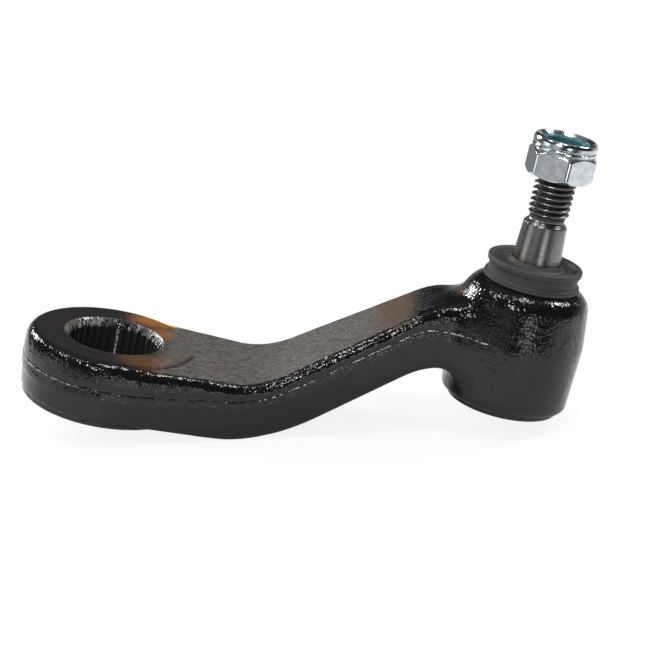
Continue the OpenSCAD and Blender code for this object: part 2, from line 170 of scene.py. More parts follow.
def forging_distance(p):
    """How far points lie from the raw forging's skin, negative inside it."""
    x, y, z = p[:, 0], p[:, 1], p[:, 2]
    part = part_at(x)
    from_eye = np.hypot(x, y)
    eye = from_eye - eye_r + from_line(z - part) * eye_draft
    side = np.maximum(np.abs(y) - arm_half_w + arm_taper * x + from_line(z - part) * arm_draft, -x)
    outline = blended(eye, side, 0.01 + eye_blend * ease(2 * x / eye_r))
    sloped = (x > top_knee) & (x < top_crest)
    over = (z - top_at(x)) * np.where(sloped, math.cos(math.atan(top_slope)), 1)
    sloped = (x > foot_knee) & (x < foot_crest)
    under = (foot_at(x) - z) * np.where(sloped, math.cos(math.atan(foot_slope)), 1)
    web = edged(outline, np.maximum(over, under), np.where(z > part, arm_edge_r, foot_edge_r))
    boss = np.maximum(edged(from_eye - boss_r, z, boss_edge_r), part - z)
    web = np.maximum(blended(web, boss, boss_blend), x - reach)
    draft = np.where(z > part_z, housing_draft_up, housing_draft_down)
    wall = np.hypot(x - reach, y) - housing_r + from_line(z - part_z) * draft
    housing = np.maximum(edged(wall, z - housing_top, shoulder_r), edged(wall, housing_foot - z, rim_r))
    return blended(web, housing, blend_size)


def skin_points(start, direction, far=60.0, tries=18):
    """Where rays from inside the forging meet its skin."""
    near, far = np.zeros(len(start)), np.full(len(start), far)
    for _ in range(tries):
        middle = (near + far) / 2
        inside = forging_distance(start + middle[:, None] * direction) < 0
        near, far = np.where(inside, middle, near), np.where(inside, far, middle)
    return start + near[:, None] * direction


flat_rows, fan_rows, fan_reach = 24, 34, 8
eye_step, arm_step, end_rings = 0.45, 0.8, 46


def quarter(stations, up):
    """A quarter of every ring: from the middle line, over the edge, to just short of the parting line."""
    count = len(stations)
    part = part_at(stations)
    centre = np.column_stack([stations, np.zeros(count), part])
    half_w = skin_points(centre, np.tile([0.0, 1.0, 0.0], (count, 1)))[:, 1]
    fan_y = half_w - np.minimum(0.6 * half_w, fan_reach)
    origin = np.column_stack([stations, fan_y, part])
    rim = skin_points(origin, np.tile([0.0, 0.0, up], (count, 1)))
    corner = np.arctan2(np.abs(rim[:, 2] - part), half_w - fan_y)
    rows = []
    for k in range(flat_rows):
        start = np.column_stack([stations, fan_y * k / flat_rows, part])
        rows.append(skin_points(start, np.tile([0.0, 0.0, up], (count, 1))))
    for k in range(fan_rows):
        s = 2 * (1 - k / fan_rows) ** 1.5
        angle = np.where(s < 1, s * corner, corner + (s - 1) * (math.pi / 2 - corner))
        direction = np.column_stack([np.zeros(count), np.cos(angle), up * np.sin(angle)])
        rows.append(skin_points(origin, direction))
    return rows, skin_points(origin, np.tile([0.0, 1.0, 0.0], (count, 1)))


def forged_skin():
    """The raw forging's skin as rings of points across the arm."""
    ends = np.radians(np.linspace(2, 88.5, end_rings))
    neck_end = reach - housing_r - 0.3
    stations = np.concatenate([
        -eye_r * np.cos(ends),
        np.arange(0, eye_r + 2, eye_step),
        np.arange(eye_r + 2, neck_end, arm_step),
        reach - housing_r * np.cos(ends),
        reach + housing_r * np.cos(ends[::-1]),
    ])
    upper, seam = quarter(stations, 1.0)
    lower, _ = quarter(stations, -1.0)
    side = upper + [seam] + lower[::-1]
    mirrored = [row * np.array([1, -1, 1]) for row in side[-2:0:-1]]
    return np.stack(side + mirrored, axis=1)


wave_h, ripple_h, mean_sunk, least_sunk = 0.10, 0.06, 0.06, -0.045
flash_h, flash_w, flash_foot_w, flash_wander = 0.34, 0.22, 2.2, 0.3
seam_drop, seam_fade, seam_depth, seam_end = 4.0, 0.9, 0.26, 50
eye_flash_end, slope_flash_start, slope_flash_end = -2, 48, 130
machined_share = 0.15


def forged_relief(flat, slope):
    """How far the skin stands out, with waves, flash and a worn seam, and where the flash shows bare with a
    painted glint.
    """
    relief, flash, wander = np.zeros(len(flat)), np.zeros(len(flat)), np.zeros(len(flat))
    for i, p in enumerate(flat):
        place = Vector(p)
        flash[i] = 0.55 + 0.9 * noise.noise(place * 0.5) + 1.1 * noise.noise(place * 1.7)
        wander[i] = flash_wander * noise.noise(place * 0.45 + Vector((0, 0, 9)))
        ripple = ripple_h * noise.noise(place * 0.22 + Vector((7, 3, 1)))
        relief[i] = wave_h * noise.noise(place * 0.09) + ripple - mean_sunk
    flash = np.clip(flash, 0, 1)
    x = flat[:, 0]
    from_part = flat[:, 2] - part_at(x)
    from_flash = from_part - wander
    facing_side = np.clip(1.3 * np.hypot(slope[:, 0], slope[:, 1]) - 0.3, 0, 1)
    on_housing = ease((x - reach + housing_r - 6) / 8)
    ridge = flash * np.exp(-(from_flash / flash_w) ** 2) - np.exp(-(from_part / flash_foot_w) ** 2)
    relief += flash_h * ridge * facing_side * (1 - 0.85 * on_housing)
    below = ease((-seam_drop - from_part) / seam_fade) * ease((seam_end - x) / 25)
    relief -= seam_depth * below * facing_side
    machined = (flat[:, 2] > -0.3) & (np.hypot(x, flat[:, 1]) < boss_r - boss_edge_r + 1)
    bared_flash_glint = flash * np.exp(-(from_flash / (1.3 * flash_w)) ** 2) * facing_side
    on_slope = ease((x - slope_flash_start) / 8) * ease((slope_flash_end - x) / 8)
    bared_flash_glint *= np.maximum(ease((eye_flash_end - x) / 6), on_slope)
    return np.where(machined, relief * machined_share, np.minimum(relief, least_sunk)), bared_flash_glint


def mesh_object(name, points, faces, smooth_angle=35):
    """A piece from points in millimetres, with edges sharper than smooth_angle degrees left sharp."""
    mesh = bpy.data.meshes.new(name)
    mesh.from_pydata([Vector(p) * mm for p in points], [], [list(f) for f in faces])
    mesh.validate()
    mesh.update()
    piece = added(name, mesh)
    shade(piece, smooth_angle)
    return piece


def shade(piece, smooth_angle=35):
    """Smooth shading, except across edges sharper than smooth_angle degrees."""
    mesh = piece.data
    mesh.polygons.foreach_set("use_smooth", [True] * len(mesh.polygons))
    mesh.set_sharp_from_angle(angle=math.radians(smooth_angle))


def tidy_mesh(piece, smooth_angle=35, merge=0.002):
    """Merges doubled points, drops empty faces and points the normals outwards."""
    shape = bmesh.new()
    shape.from_mesh(piece.data)
    bmesh.ops.remove_doubles(shape, verts=shape.verts, dist=merge * mm)
    bmesh.ops.dissolve_degenerate(shape, edges=shape.edges, dist=0.0005 * mm)
    bmesh.ops.recalc_face_normals(shape, faces=shape.faces)
    shape.to_mesh(piece.data)
    shape.free()
    shade(piece, smooth_angle)
    return piece


def lathe(profile, turns=160, centre=(0.0, 0.0), shaped=None):
    """Points and faces of a closed profile (radius, height), turned about a vertical axis."""
    points = []
    for i in range(turns):
        angle = 2 * math.pi * i / turns
        for radius, height in profile:
            r = shaped(angle, radius, height) if shaped else radius
            points.append((centre[0] + r * math.cos(angle), centre[1] + r * math.sin(angle), height))
    size = len(profile)
    faces = []
    for i in range(turns):
        j = (i + 1) % turns
        for k in range(size):
            m = (k + 1) % size
            faces.append((i * size + k, j * size + k, j * size + m, i * size + m))
    return points, faces


def turned_piece(name, profile, turns=160, centre=(0.0, 0.0), shaped=None, smooth_angle=35):
    """A piece turned from a closed profile."""
    return tidy_mesh(mesh_object(name, *lathe(profile, turns, centre, shaped)), smooth_angle)


def settle(piece):
    """Makes a piece's modifiers part of its mesh."""
    settled = bpy.data.meshes.new_from_object(piece.evaluated_get(bpy.context.evaluated_depsgraph_get()))
    piece.modifiers.clear()
    piece.data = settled


def cut(piece, tool, operation):
    """Joins tool to piece, or cuts it out, and takes tool away."""
    modifier = piece.modifiers.new("cut", "BOOLEAN")
    modifier.operation = operation
    modifier.solver = "EXACT"
    modifier.object = tool
    settle(piece)
    bpy.data.objects.remove(tool)


rings = forged_skin()
count, size = rings.shape[:2]
flat = rings.reshape(-1, 3)
slope = np.column_stack([
    forging_distance(flat + offset) - forging_distance(flat - offset)
    for offset in np.eye(3) * 0.05
])
slope /= np.maximum(np.linalg.norm(slope, axis=1), 1e-9)[:, None]
relief, bared_flash_glint = forged_relief(flat, slope)
flat = flat + slope * relief[:, None]
faces = [
    (i * size + j, i * size + (j + 1) % size, (i + 1) * size + (j + 1) % size, (i + 1) * size + j)
    for i in range(count - 1) for j in range(size)
]
faces.append([j for j in reversed(range(size))])
faces.append([(count - 1) * size + j for j in range(size)])
forging = mesh_object("arm_forging_skin", flat, faces)
# The skin's points keep how much painted flash glint each one gets.
trimmed = forging.data.attributes.new("painted_flash_glint", "FLOAT", "POINT")
trimmed.data.foreach_set("value", bared_flash_glint)
tidy_mesh(forging, merge=0.01)

foot_break, foot_disc_top = 0.4, 3 - eye_h
foot_disc = [
    (0, -eye_h), (foot_r - foot_break, -eye_h), (foot_r, foot_break - eye_h), (foot_r, foot_disc_top),
    (0, foot_disc_top),
]
cut(forging, turned_piece("foot_disc", foot_disc), "UNION")
ring_r, ring_break = 19.36, 0.55
cover_ring = [
    (0, ring_foot), (ring_r - ring_break, ring_foot), (ring_r - 0.15, ring_foot + 0.2),
    (ring_r, ring_foot + ring_break), (ring_r, housing_foot + 1), (0, housing_foot + 1),
]
cut(forging, turned_piece("cover_ring", cover_ring, 160, (reach, 0)), "UNION")

spline_count, wide_teeth = 36, 4
spline_tip_r, spline_root_r = 15.4, 16.2
groove_share, half_root, root_crown = 0.66, 0.13, 0.03
bore_chamfer = 1.1
chamfer_slope = math.tan(math.radians(33))
bore_past = 2


def spline_outline():
    """The bore's outline: 36 places for grooves, of which one in each quarter turn stays a wide tooth."""
    outline = []
    pitch = 2 * math.pi / spline_count
    for i in range(spline_count):
        stops = [(-0.5, spline_tip_r), (-groove_share / 2, spline_tip_r)]
        if i % (spline_count // wide_teeth):
            bottom = ((-half_root, 0), (0, root_crown), (half_root, 0))
            stops += [(s, spline_root_r + deeper) for s, deeper in bottom]
        stops += [(groove_share / 2, spline_tip_r)]
        outline += [(r * math.cos((i + s) * pitch), r * math.sin((i + s) * pitch)) for s, r in stops]
    return outline


outline = spline_outline()
low, high = -eye_h - bore_past, bore_past
points = [(x, y, low) for x, y in outline] + [(x, y, high) for x, y in outline]
n = len(outline)
faces = [(i, (i + 1) % n, n + (i + 1) % n, n + i) for i in range(n)]
faces += [[i for i in reversed(range(n))], [n + i for i in range(n)]]
bore_tool = mesh_object("spline_cutter", points, faces)
mouth_r = spline_root_r + bore_chamfer
depth = (mouth_r - spline_tip_r) / chamfer_slope
for face_z, out in ((0, 1), (-eye_h, -1)):
    cone = [
        (0, face_z - out * depth), (spline_tip_r, face_z - out * depth), (mouth_r, face_z),
        (mouth_r + 0.5, face_z + out * 0.35), (mouth_r + 0.5, face_z + out * 1.5), (0, face_z + out * 1.5),
    ]
    cut(bore_tool, turned_piece("chamfer_cutter", cone, 200), "UNION")
cut(forging, bore_tool, "DIFFERENCE")

socket_r, lip_hook_r = 16.56, 17.66
cover_low, cover_high = 5.7, 7.9
seat_top, seat_top_r, mouth_top_r = ball_z + 8.6, 12.48, 14.55
socket = [
    (0, 3), (socket_r + 0.5, 3), (socket_r + 0.5, ring_foot), (socket_r, ring_foot + 0.35),
    (socket_r, cover_low), (lip_hook_r, cover_low), (lip_hook_r, cover_high), (socket_r, cover_high),
    (socket_r, seat_top), (seat_top_r, seat_top), (mouth_top_r, housing_top), (mouth_top_r, housing_top + 1),
    (0, housing_top + 1),
]
cut(forging, turned_piece("socket_cutter", socket, 160, (reach, 0)), "DIFFERENCE")
shade(forging, 38)


def feed(tree, socket, value):
    """Links value to a socket if it is another socket, and sets it otherwise."""
    if isinstance(value, bpy.types.NodeSocket):
        tree.links.new(value, socket)
    else:
        socket.default_value = value


def node(tree, kind, settings=None, **inputs):
    """Adds a node, sets its properties, and feeds its inputs by name, with underscores for spaces."""
    added = tree.nodes.new(kind)
    for key, value in (settings or {}).items():
        setattr(added, key, value)
    for key, value in inputs.items():
        feed(tree, added.inputs[key.replace("_", " ")], value)
    return added


def math_of(tree, operation, *values):
    """One step of arithmetic."""
    added = node(tree, "ShaderNodeMath", {"operation": operation})
    for socket, value in zip(added.inputs, values):
        feed(tree, socket, value)
    return added.outputs[0]


def vector_of(tree, operation, *values):
    """One step of vector arithmetic. It gives the number where the operation has one."""
    added = node(tree, "ShaderNodeVectorMath", {"operation": operation})
    for socket, value in zip(added.inputs, values):
        feed(tree, socket, value)
    return added.outputs["Value" if operation in ("LENGTH", "DOT_PRODUCT") else "Vector"]


def fade(tree, value, start, end):
    """Goes smoothly from 0 where value is start to 1 where it is end."""
    added = node(tree, "ShaderNodeMapRange", {"interpolation_type": "SMOOTHSTEP"}, Value=value)
    added.inputs["From Min"].default_value = start
    added.inputs["From Max"].default_value = end
    return added.outputs["Result"]


def mixed(tree, share, first, second):
    """Colour first, turning to second by share."""
    added = node(tree, "ShaderNodeMix", {"data_type": "RGBA"})
    feed(tree, added.inputs[0], share)
    for socket, value in ((added.inputs[6], first), (added.inputs[7], second)):
        feed(tree, socket, value if isinstance(value, bpy.types.NodeSocket) else (*value, 1))
    return added.outputs[2]


def new_material(name):
    """A material, its Principled shader, its node tree, and Object coordinates in millimetres."""
    material = bpy.data.materials.new(name)
    material.use_nodes = True
    tree = material.node_tree
    place = node(tree, "ShaderNodeTexCoord").outputs["Object"]
    place = vector_of(tree, "MULTIPLY", place, (1 / mm, 1 / mm, 1 / mm))
    return material, tree.nodes["Principled BSDF"], tree, place


def grain(tree, place, cell, detail=2.0, roughness=0.5):
    """Noise from 0 to 1, whose spots are about cell millimetres long along X, Y and Z."""
    scaled = vector_of(tree, "MULTIPLY", place, tuple(1 / c for c in cell))
    added = node(tree, "ShaderNodeTexNoise", Vector=scaled, Scale=1.0, Detail=detail, Roughness=roughness)
    return added.outputs[0]


def patch(tree, place, centre, radii, ragged):
    """A soft patch around centre, with an edge that ragged, a noise, breaks up."""
    away = vector_of(tree, "SUBTRACT", place, centre)
    away = vector_of(tree, "LENGTH", vector_of(tree, "MULTIPLY", away, tuple(1 / r for r in radii)))
    return fade(tree, math_of(tree, "ADD", away, math_of(tree, "MULTIPLY", ragged, 0.7)), 1.5, 0.7)


def sum_of(tree, *values):
    total = values[0]
    for value in values[1:]:
        total = math_of(tree, "ADD", total, value)
    return total


def product_of(tree, *values):
    total = values[0]
    for value in values[1:]:
        total = math_of(tree, "MULTIPLY", total, value)
    return total


def without(tree, value, share=1.0):
    """What is left of 1 once a share of value is taken away."""
    return math_of(tree, "SUBTRACT", 1.0, product_of(tree, value, share))


def from_stud(tree, place):
    """How far a place lies from the stud's axis."""
    away = vector_of(tree, "SUBTRACT", place, (reach, 0, 0))
    return vector_of(tree, "LENGTH", vector_of(tree, "MULTIPLY", away, (1, 1, 0)))


def finish_with(tree, shader, colour, roughness, height, metal=0.0, strength=1.0):
    """Gives a material's shader its colour, its roughness and its relief in millimetres."""
    for socket, value in (("Base Color", colour), ("Roughness", roughness), ("Metallic", metal)):
        feed(tree, shader.inputs[socket], value)
    bump = node(tree, "ShaderNodeBump", Strength=strength, Distance=mm, Height=height)
    tree.links.new(bump.outputs["Normal"], shader.inputs["Normal"])


def effect_group(name, inputs, outputs):
    """A shader node group with named number and vector sockets, and its input and output nodes."""
    group = bpy.data.node_groups.new(name, "ShaderNodeTree")
    for label, kind in inputs:
        group.interface.new_socket(label, in_out="INPUT", socket_type=kind)
    for label in outputs:
        group.interface.new_socket(label, in_out="OUTPUT", socket_type="NodeSocketFloat")
    return group, group.nodes.new("NodeGroupInput").outputs, group.nodes.new("NodeGroupOutput").inputs


# Thick black paint: it runs together into small lumps and dries with broad, uneven gloss.
lumpy_paint, given, put = effect_group(
    "lumpy_paint", (("Place", "NodeSocketVector"), ("Lump Height", "NodeSocketFloat")), ("Height", "Dullness")
)
small = grain(lumpy_paint, given["Place"], (0.75, 0.75, 0.75), 0.0)
middling = grain(lumpy_paint, given["Place"], (1.7, 1.7, 1.7), 0.5)
broad = grain(lumpy_paint, given["Place"], (6, 6, 6), 2.0)
lumps = sum_of(lumpy_paint, small, product_of(lumpy_paint, middling, 1.3))
where = fade(lumpy_paint, broad, 0.3, 0.7)
uneven = sum_of(lumpy_paint, product_of(lumpy_paint, where, 0.6), 0.6)
height = product_of(lumpy_paint, lumps, given["Lump Height"], uneven)
lumpy_paint.links.new(height, put["Height"])
lumpy_paint.links.new(broad, put["Dullness"])

black = (0.0042, 0.0041, 0.0043)
dull_brown = (0.0075, 0.006, 0.0062)
arm_brown = (0.098, 0.083, 0.074)
amber_rust_and_reflection = (0.20, 0.078, 0.010)
burnt_rust_and_reflection = (0.060, 0.030, 0.011)
orange_rust_and_reflection = (0.75, 0.36, 0.03)
bare_steel = (0.46, 0.46, 0.45)

paint, shader, tree, place = new_material("painted_forging")
split = node(tree, "ShaderNodeSeparateXYZ", Vector=place)
x, y, z = (split.outputs[i] for i in range(3))
flat_place = vector_of(tree, "MULTIPLY", place, (1, 1, 0))
from_eye = vector_of(tree, "LENGTH", flat_place)
normal = node(tree, "ShaderNodeNewGeometry").outputs["Normal"]
split = node(tree, "ShaderNodeSeparateXYZ", Vector=normal)
facing, sideways = split.outputs[2], math_of(tree, "ABSOLUTE", split.outputs[1])
ragged = grain(tree, place, (2.5, 2.5, 2.5), 4.0, 0.6)
fine = grain(tree, place, (0.5, 0.5, 0.5), 2.0)
streaks = grain(tree, place, (2.4, 0.38, 2.4), 3.0, 0.65)
face_r, chamfer_r, chamfer_z = 26.4, 17.25, -2.7
on_face = product_of(tree, fade(tree, z, -0.55, -0.2), fade(tree, from_eye, face_r + 1, face_r))
on_chamfer = product_of(tree, fade(tree, from_eye, 17.5, chamfer_r), fade(tree, z, -3.0, chamfer_z))
in_bore = product_of(tree, fade(tree, from_eye, 17.3, 17.0), fade(tree, z, -2.6, -3.0))
along = sum_of(tree, x, product_of(tree, ragged, 9))
level = fade(tree, sum_of(tree, sideways, product_of(tree, ragged, 0.3)), 0.55, 0.42)
on_web = product_of(tree, fade(tree, along, 17, 25), fade(tree, along, 105, 97))
on_top = product_of(tree, fade(tree, facing, 0.6, 0.75), level, on_web)
thin_paint = sum_of(tree, 0.25, product_of(tree, fade(tree, streaks, 0.36, 0.64), 0.75))
colour = mixed(tree, on_face, black, dull_brown)
colour = mixed(tree, product_of(tree, on_top, thin_paint), colour, arm_brown)
# Amber and brown tints on the eye's face and the sloped top: rust, partly painted orange reflection.
rust_and_reflection_patches = (
    ((11, 22, 0), (10, 7, 3), 0.9),
    ((15, 11, 0), (6, 7, 3), 0.6),
    ((13, -19, 0), (12, 8, 3), 0.3),
)
burnt_rust_and_reflection_patches = (
    ((93, 4, 29), (9, 24, 10), 0.95),
    ((113, -0.5, 41), (2.5, 6, 6), 0.9),
)
rust_and_reflection = 0.0
for patches, tint in ((rust_and_reflection_patches, amber_rust_and_reflection), (burnt_rust_and_reflection_patches, burnt_rust_and_reflection)):
    for centre, radii, strength in patches:
        spot = product_of(
            tree, patch(tree, place, centre, radii, ragged), strength, fade(tree, facing, 0.35, 0.75),
            sum_of(tree, product_of(tree, streaks, 1.2), 0.3),
        )
        colour = mixed(tree, spot, colour, tint)
        rust_and_reflection = math_of(tree, "MAXIMUM", rust_and_reflection, spot)
# Painted orange reflection on a rust tint, along the eye's back edge.
rust_and_reflection_edge = patch(tree, place, (14, 24.5, -0.3), (8, 5, 3), fine)
rust_and_reflection_edge = product_of(tree, rust_and_reflection_edge, fade(tree, from_eye, face_r - 0.2, face_r + 0.5))
colour = mixed(tree, rust_and_reflection_edge, colour, orange_rust_and_reflection)
scuff = patch(tree, place, (134.8, -21.9, 33.8), (2.6, 3, 0.8), grain(tree, place, (0.8, 0.8, 0.4), 3.0))
colour = mixed(tree, product_of(tree, scuff, 0.5), colour, (0.10, 0.075, 0.06))
blob = patch(tree, place, (1.5, 16.6, -1.2), (5.2, 1.9, 2.6), ragged)
worn = math_of(
    tree, "MAXIMUM", patch(tree, place, (-10.5, 12.5, -1.5), (6.5, 6.5, 5), ragged),
    patch(tree, place, (13.5, 8, -1.5), (6, 8, 5), ragged),
)
scraped = fade(tree, grain(tree, place, (0.9, 0.9, 2.5), 3.0), 0.36, 0.6)
wear = sum_of(tree, product_of(tree, worn, 0.85), 0.15)
bare = product_of(tree, on_chamfer, without(tree, blob), scraped, wear)
rusty_chamfer = product_of(tree, on_chamfer, patch(tree, place, (-16.5, 2, -1.5), (4, 8, 5), ragged), 0.6)
colour = mixed(tree, rusty_chamfer, colour, (0.10, 0.06, 0.035))
colour = mixed(tree, product_of(tree, bare, 0.9), colour, bare_steel)
colour = mixed(tree, in_bore, colour, (0.002, 0.002, 0.002))
# Light grey dots along the trimmed flash: painted highlight standing for its glints, on flash whose paint is
# worn thin.
bared_flash_glint = node(tree, "ShaderNodeAttribute", {"attribute_name": "painted_flash_glint"}).outputs["Fac"]
bared_flash_glint = product_of(tree, fade(tree, bared_flash_glint, 0.3, 0.8), fade(tree, fine, 0.38, 0.5))
colour = mixed(tree, bared_flash_glint, colour, (0.5, 0.5, 0.5))
# Painted shadow along the step where the eye's machined face meets the web, on its near side.
shadow_arc_in_r, shadow_arc_out_r, shadow_arc_fade = 27.9, 28.3, 0.9
painted_shadow_arc = product_of(
    tree, fade(tree, from_eye, shadow_arc_in_r - shadow_arc_fade, shadow_arc_in_r),
    fade(tree, from_eye, shadow_arc_out_r + shadow_arc_fade, shadow_arc_out_r), fade(tree, x, 12, 20),
    fade(tree, facing, 0.5, 0.7), fade(tree, y, 0, -7),
)
colour = mixed(tree, product_of(tree, painted_shadow_arc, 0.85), colour, black)
skin = node(tree, "ShaderNodeGroup", {"node_tree": lumpy_paint}, Place=place, Lump_Height=0.16)
thinned = math_of(tree, "MAXIMUM", on_face, product_of(tree, on_top, thin_paint))
dull = sum_of(
    tree, 0.08, product_of(tree, skin.outputs["Dullness"], 0.12), product_of(tree, thinned, 0.6),
    product_of(tree, on_face, -0.35), product_of(tree, in_bore, 0.7), product_of(tree, bare, 0.14),
    product_of(tree, rust_and_reflection, 0.2),
)
shader.inputs["Specular IOR Level"].default_value = 0.4
smooth_below = sum_of(tree, 0.35, product_of(tree, fade(tree, facing, -0.07, 0.03), 0.65))
smooth_above = without(tree, fade(tree, facing, 0.75, 0.95), 0.7)
lumpy = without(tree, math_of(tree, "MAXIMUM", on_face, in_bore), 0.85)
lumpy = product_of(tree, lumpy, without(tree, bare, 0.6), smooth_above, smooth_below)
lumpy = sum_of(tree, lumpy, product_of(tree, blob, 1.2))
marks = product_of(tree, grain(tree, place, (6, 6, 0.16), 1.0), in_bore, 0.06)
crease = vector_of(tree, "LENGTH", vector_of(tree, "SUBTRACT", flat_place, (9, 5, 0)))
beside_eye = patch(tree, place, (29, -18, -0.7), (12, 9, 4), 0.3)
crease = product_of(tree, fade(tree, crease, 29.9, 30.9), beside_eye)
relief = sum_of(
    tree, product_of(tree, skin.outputs["Height"], lumpy), product_of(tree, streaks, on_top, 0.26),
    product_of(tree, crease, 0.25),
    product_of(tree, grain(tree, place, (0.6, 0.6, 2.5), 3.0), bare, 0.10),
    product_of(tree, grain(tree, place, (0.6, 0.6, 6), 1.0), 0.05), marks,
)
dull = math_of(tree, "MINIMUM", dull, 0.95)
finish_with(tree, shader, colour, dull, relief, metal=product_of(tree, bare, 0.85))
forging.data.materials.clear()
forging.data.materials.append(paint)
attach(forging, "arm")
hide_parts("arm_forging")


# The cover is a plate pressed from sheet steel, dished where the spring stands. It closes the socket from
# below and is held by the rolled lip of the housing. It is painted with the arm.
def filleted(corners, steps=4):
    """A closed profile through corners (radius, height, rounding), with each corner rounded."""
    places = [Vector(c[:2]) for c in corners]
    profile = []
    for i, corner in enumerate(corners):
        place = places[i]
        rounding = corner[2] if len(corner) > 2 else 0
        if not rounding:
            profile.append(tuple(place))
            continue
        before = places[i - 1] - place
        after = places[(i + 1) % len(places)] - place
        reach_back = rounding * math.tan((math.pi - before.angle(after)) / 2)
        reach_back = min(reach_back, 0.48 * before.length, 0.48 * after.length)
        first = place + before.normalized() * reach_back
        last = place + after.normalized() * reach_back
        for k in range(steps + 1):
            s = k / steps
            profile.append(tuple((1 - s) ** 2 * first + 2 * s * (1 - s) * place + s * s * last))
    return profile


cover_r, dish_r, dish_h = 17.62, 7.0, 0.9
cover_profile = filleted([
    (0, cover_low + dish_h), (dish_r - dish_h, cover_low + dish_h, 0.8), (dish_r, cover_low, 0.8),
    (cover_r, cover_low + 0.02, 0.2), (cover_r, cover_high - 0.02, 0.2),
    (dish_r, cover_high - 0.02, 0.8), (dish_r - dish_h, cover_high + dish_h, 0.8), (0, cover_high + dish_h),
])
cover = turned_piece("pressed_cover", cover_profile, 128, (reach, 0))
cover_paint, shader, tree, place = new_material("painted_cover")
skin = node(tree, "ShaderNodeGroup", {"node_tree": lumpy_paint}, Place=place, Lump_Height=0.10)
dullness = skin.outputs["Dullness"]
thin = product_of(tree, fade(tree, dullness, 0.45, 0.75), fade(tree, from_stud(tree, place), 15, 17))
colour = mixed(tree, thin, black, arm_brown)
finish_with(tree, shader, colour, sum_of(tree, 0.2, product_of(tree, dullness, 0.2)), skin.outputs["Height"])
cover.data.materials.append(cover_paint)
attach(cover, "arm")
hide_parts("cover_plate")


# The preload spring is coiled from drawn wire, with its end turns laid flat. It stands on the cover and
# pushes the cup up against the stud's head.
def spring_tree():
    """A helix with flat end turns, swept with a round wire."""
    group = bpy.data.node_groups.new("coiled_wire", "GeometryNodeTree")
    sockets = {}
    for label, value in (
        ("Coil Radius", 8.4), ("Wire Radius", 1.0), ("Turns", 2.6),
        ("Foot", 8.9), ("Rise", 6.1), ("Axis X", reach),
    ):
        socket = group.interface.new_socket(label, in_out="INPUT", socket_type="NodeSocketFloat")
        sockets[label] = (socket.identifier, value * mm if label != "Turns" else value)
    group.interface.new_socket("Steel", in_out="INPUT", socket_type="NodeSocketMaterial")
    group.interface.new_socket("Geometry", in_out="OUTPUT", socket_type="NodeSocketGeometry")
    given = group.nodes.new("NodeGroupInput").outputs
    coil = node(group, "GeometryNodeCurveSpiral", Resolution=40, Rotations=given["Turns"], Height=0.0)
    feed(group, coil.inputs["Start Radius"], given["Coil Radius"])
    feed(group, coil.inputs["End Radius"], given["Coil Radius"])
    along = node(group, "GeometryNodeSplineParameter").outputs["Factor"]
    climb = node(group, "ShaderNodeMapRange", {"interpolation_type": "SMOOTHSTEP"}, Value=along)
    climb.inputs["From Min"].default_value = 0.15
    climb.inputs["From Max"].default_value = 0.85
    lift = math_of(group, "MULTIPLY_ADD", climb.outputs["Result"], given["Rise"], given["Foot"])
    shift = node(group, "ShaderNodeCombineXYZ", X=given["Axis X"], Z=lift).outputs[0]
    placed = node(group, "GeometryNodeSetPosition", Geometry=coil.outputs[0], Offset=shift)
    wire = node(group, "GeometryNodeCurvePrimitiveCircle", Resolution=20, Radius=given["Wire Radius"])
    swept = node(group, "GeometryNodeCurveToMesh", Curve=placed.outputs[0])
    feed(group, swept.inputs["Profile Curve"], wire.outputs["Curve"])
    feed(group, swept.inputs["Fill Caps"], True)
    real = node(group, "GeometryNodeRealizeInstances", Geometry=swept.outputs[0])
    painted = node(group, "GeometryNodeSetMaterial", Geometry=real.outputs[0], Material=given["Steel"])
    output = group.nodes.new("NodeGroupOutput")
    group.links.new(painted.outputs[0], output.inputs[0])
    return group, sockets


wire_steel, shader, tree, place = new_material("spring_steel")
drawn = grain(tree, place, (1.2, 1.2, 0.12), 3.0)
scale_spots = fade(tree, grain(tree, place, (0.8, 0.8, 0.8), 3.0), 0.42, 0.62)
colour = mixed(tree, scale_spots, (0.33, 0.32, 0.32), (0.14, 0.13, 0.13))
roughness = sum_of(tree, 0.3, product_of(tree, drawn, 0.25))
finish_with(tree, shader, colour, roughness, product_of(tree, drawn, 0.01), metal=0.9, strength=0.8)

spring = added("coiled_spring", bpy.data.meshes.new("coiled_spring"))
coiling, sockets = spring_tree()
modifier = spring.modifiers.new("coiling", "NODES")
modifier.node_group = coiling
for identifier, value in sockets.values():
    modifier[identifier] = value
steel_socket = [s for s in coiling.interface.items_tree if s.name == "Steel"][0]
modifier[steel_socket.identifier] = wire_steel
settle(spring)
tidy_mesh(spring)
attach(spring, "arm")
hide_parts("preload_spring")


# The bearing over the half ball is moulded from a pale polymer and greased. It is the piece that turns in
# the housing as the stud swivels.
bearing_polymer, shader, tree, place = new_material("bearing_polymer")
flow = grain(tree, place, (3, 3, 1.2), 3.0)
colour = mixed(tree, flow, (0.66, 0.62, 0.5), (0.82, 0.8, 0.72))
height = product_of(tree, grain(tree, place, (0.4, 0.4, 0.4)), 0.01)
finish_with(tree, shader, colour, sum_of(tree, 0.3, product_of(tree, flow, 0.25)), height, strength=0.6)
frame["nodes"]["socket_bearing"].data.materials.clear()
frame["nodes"]["socket_bearing"].data.materials.append(bearing_polymer)


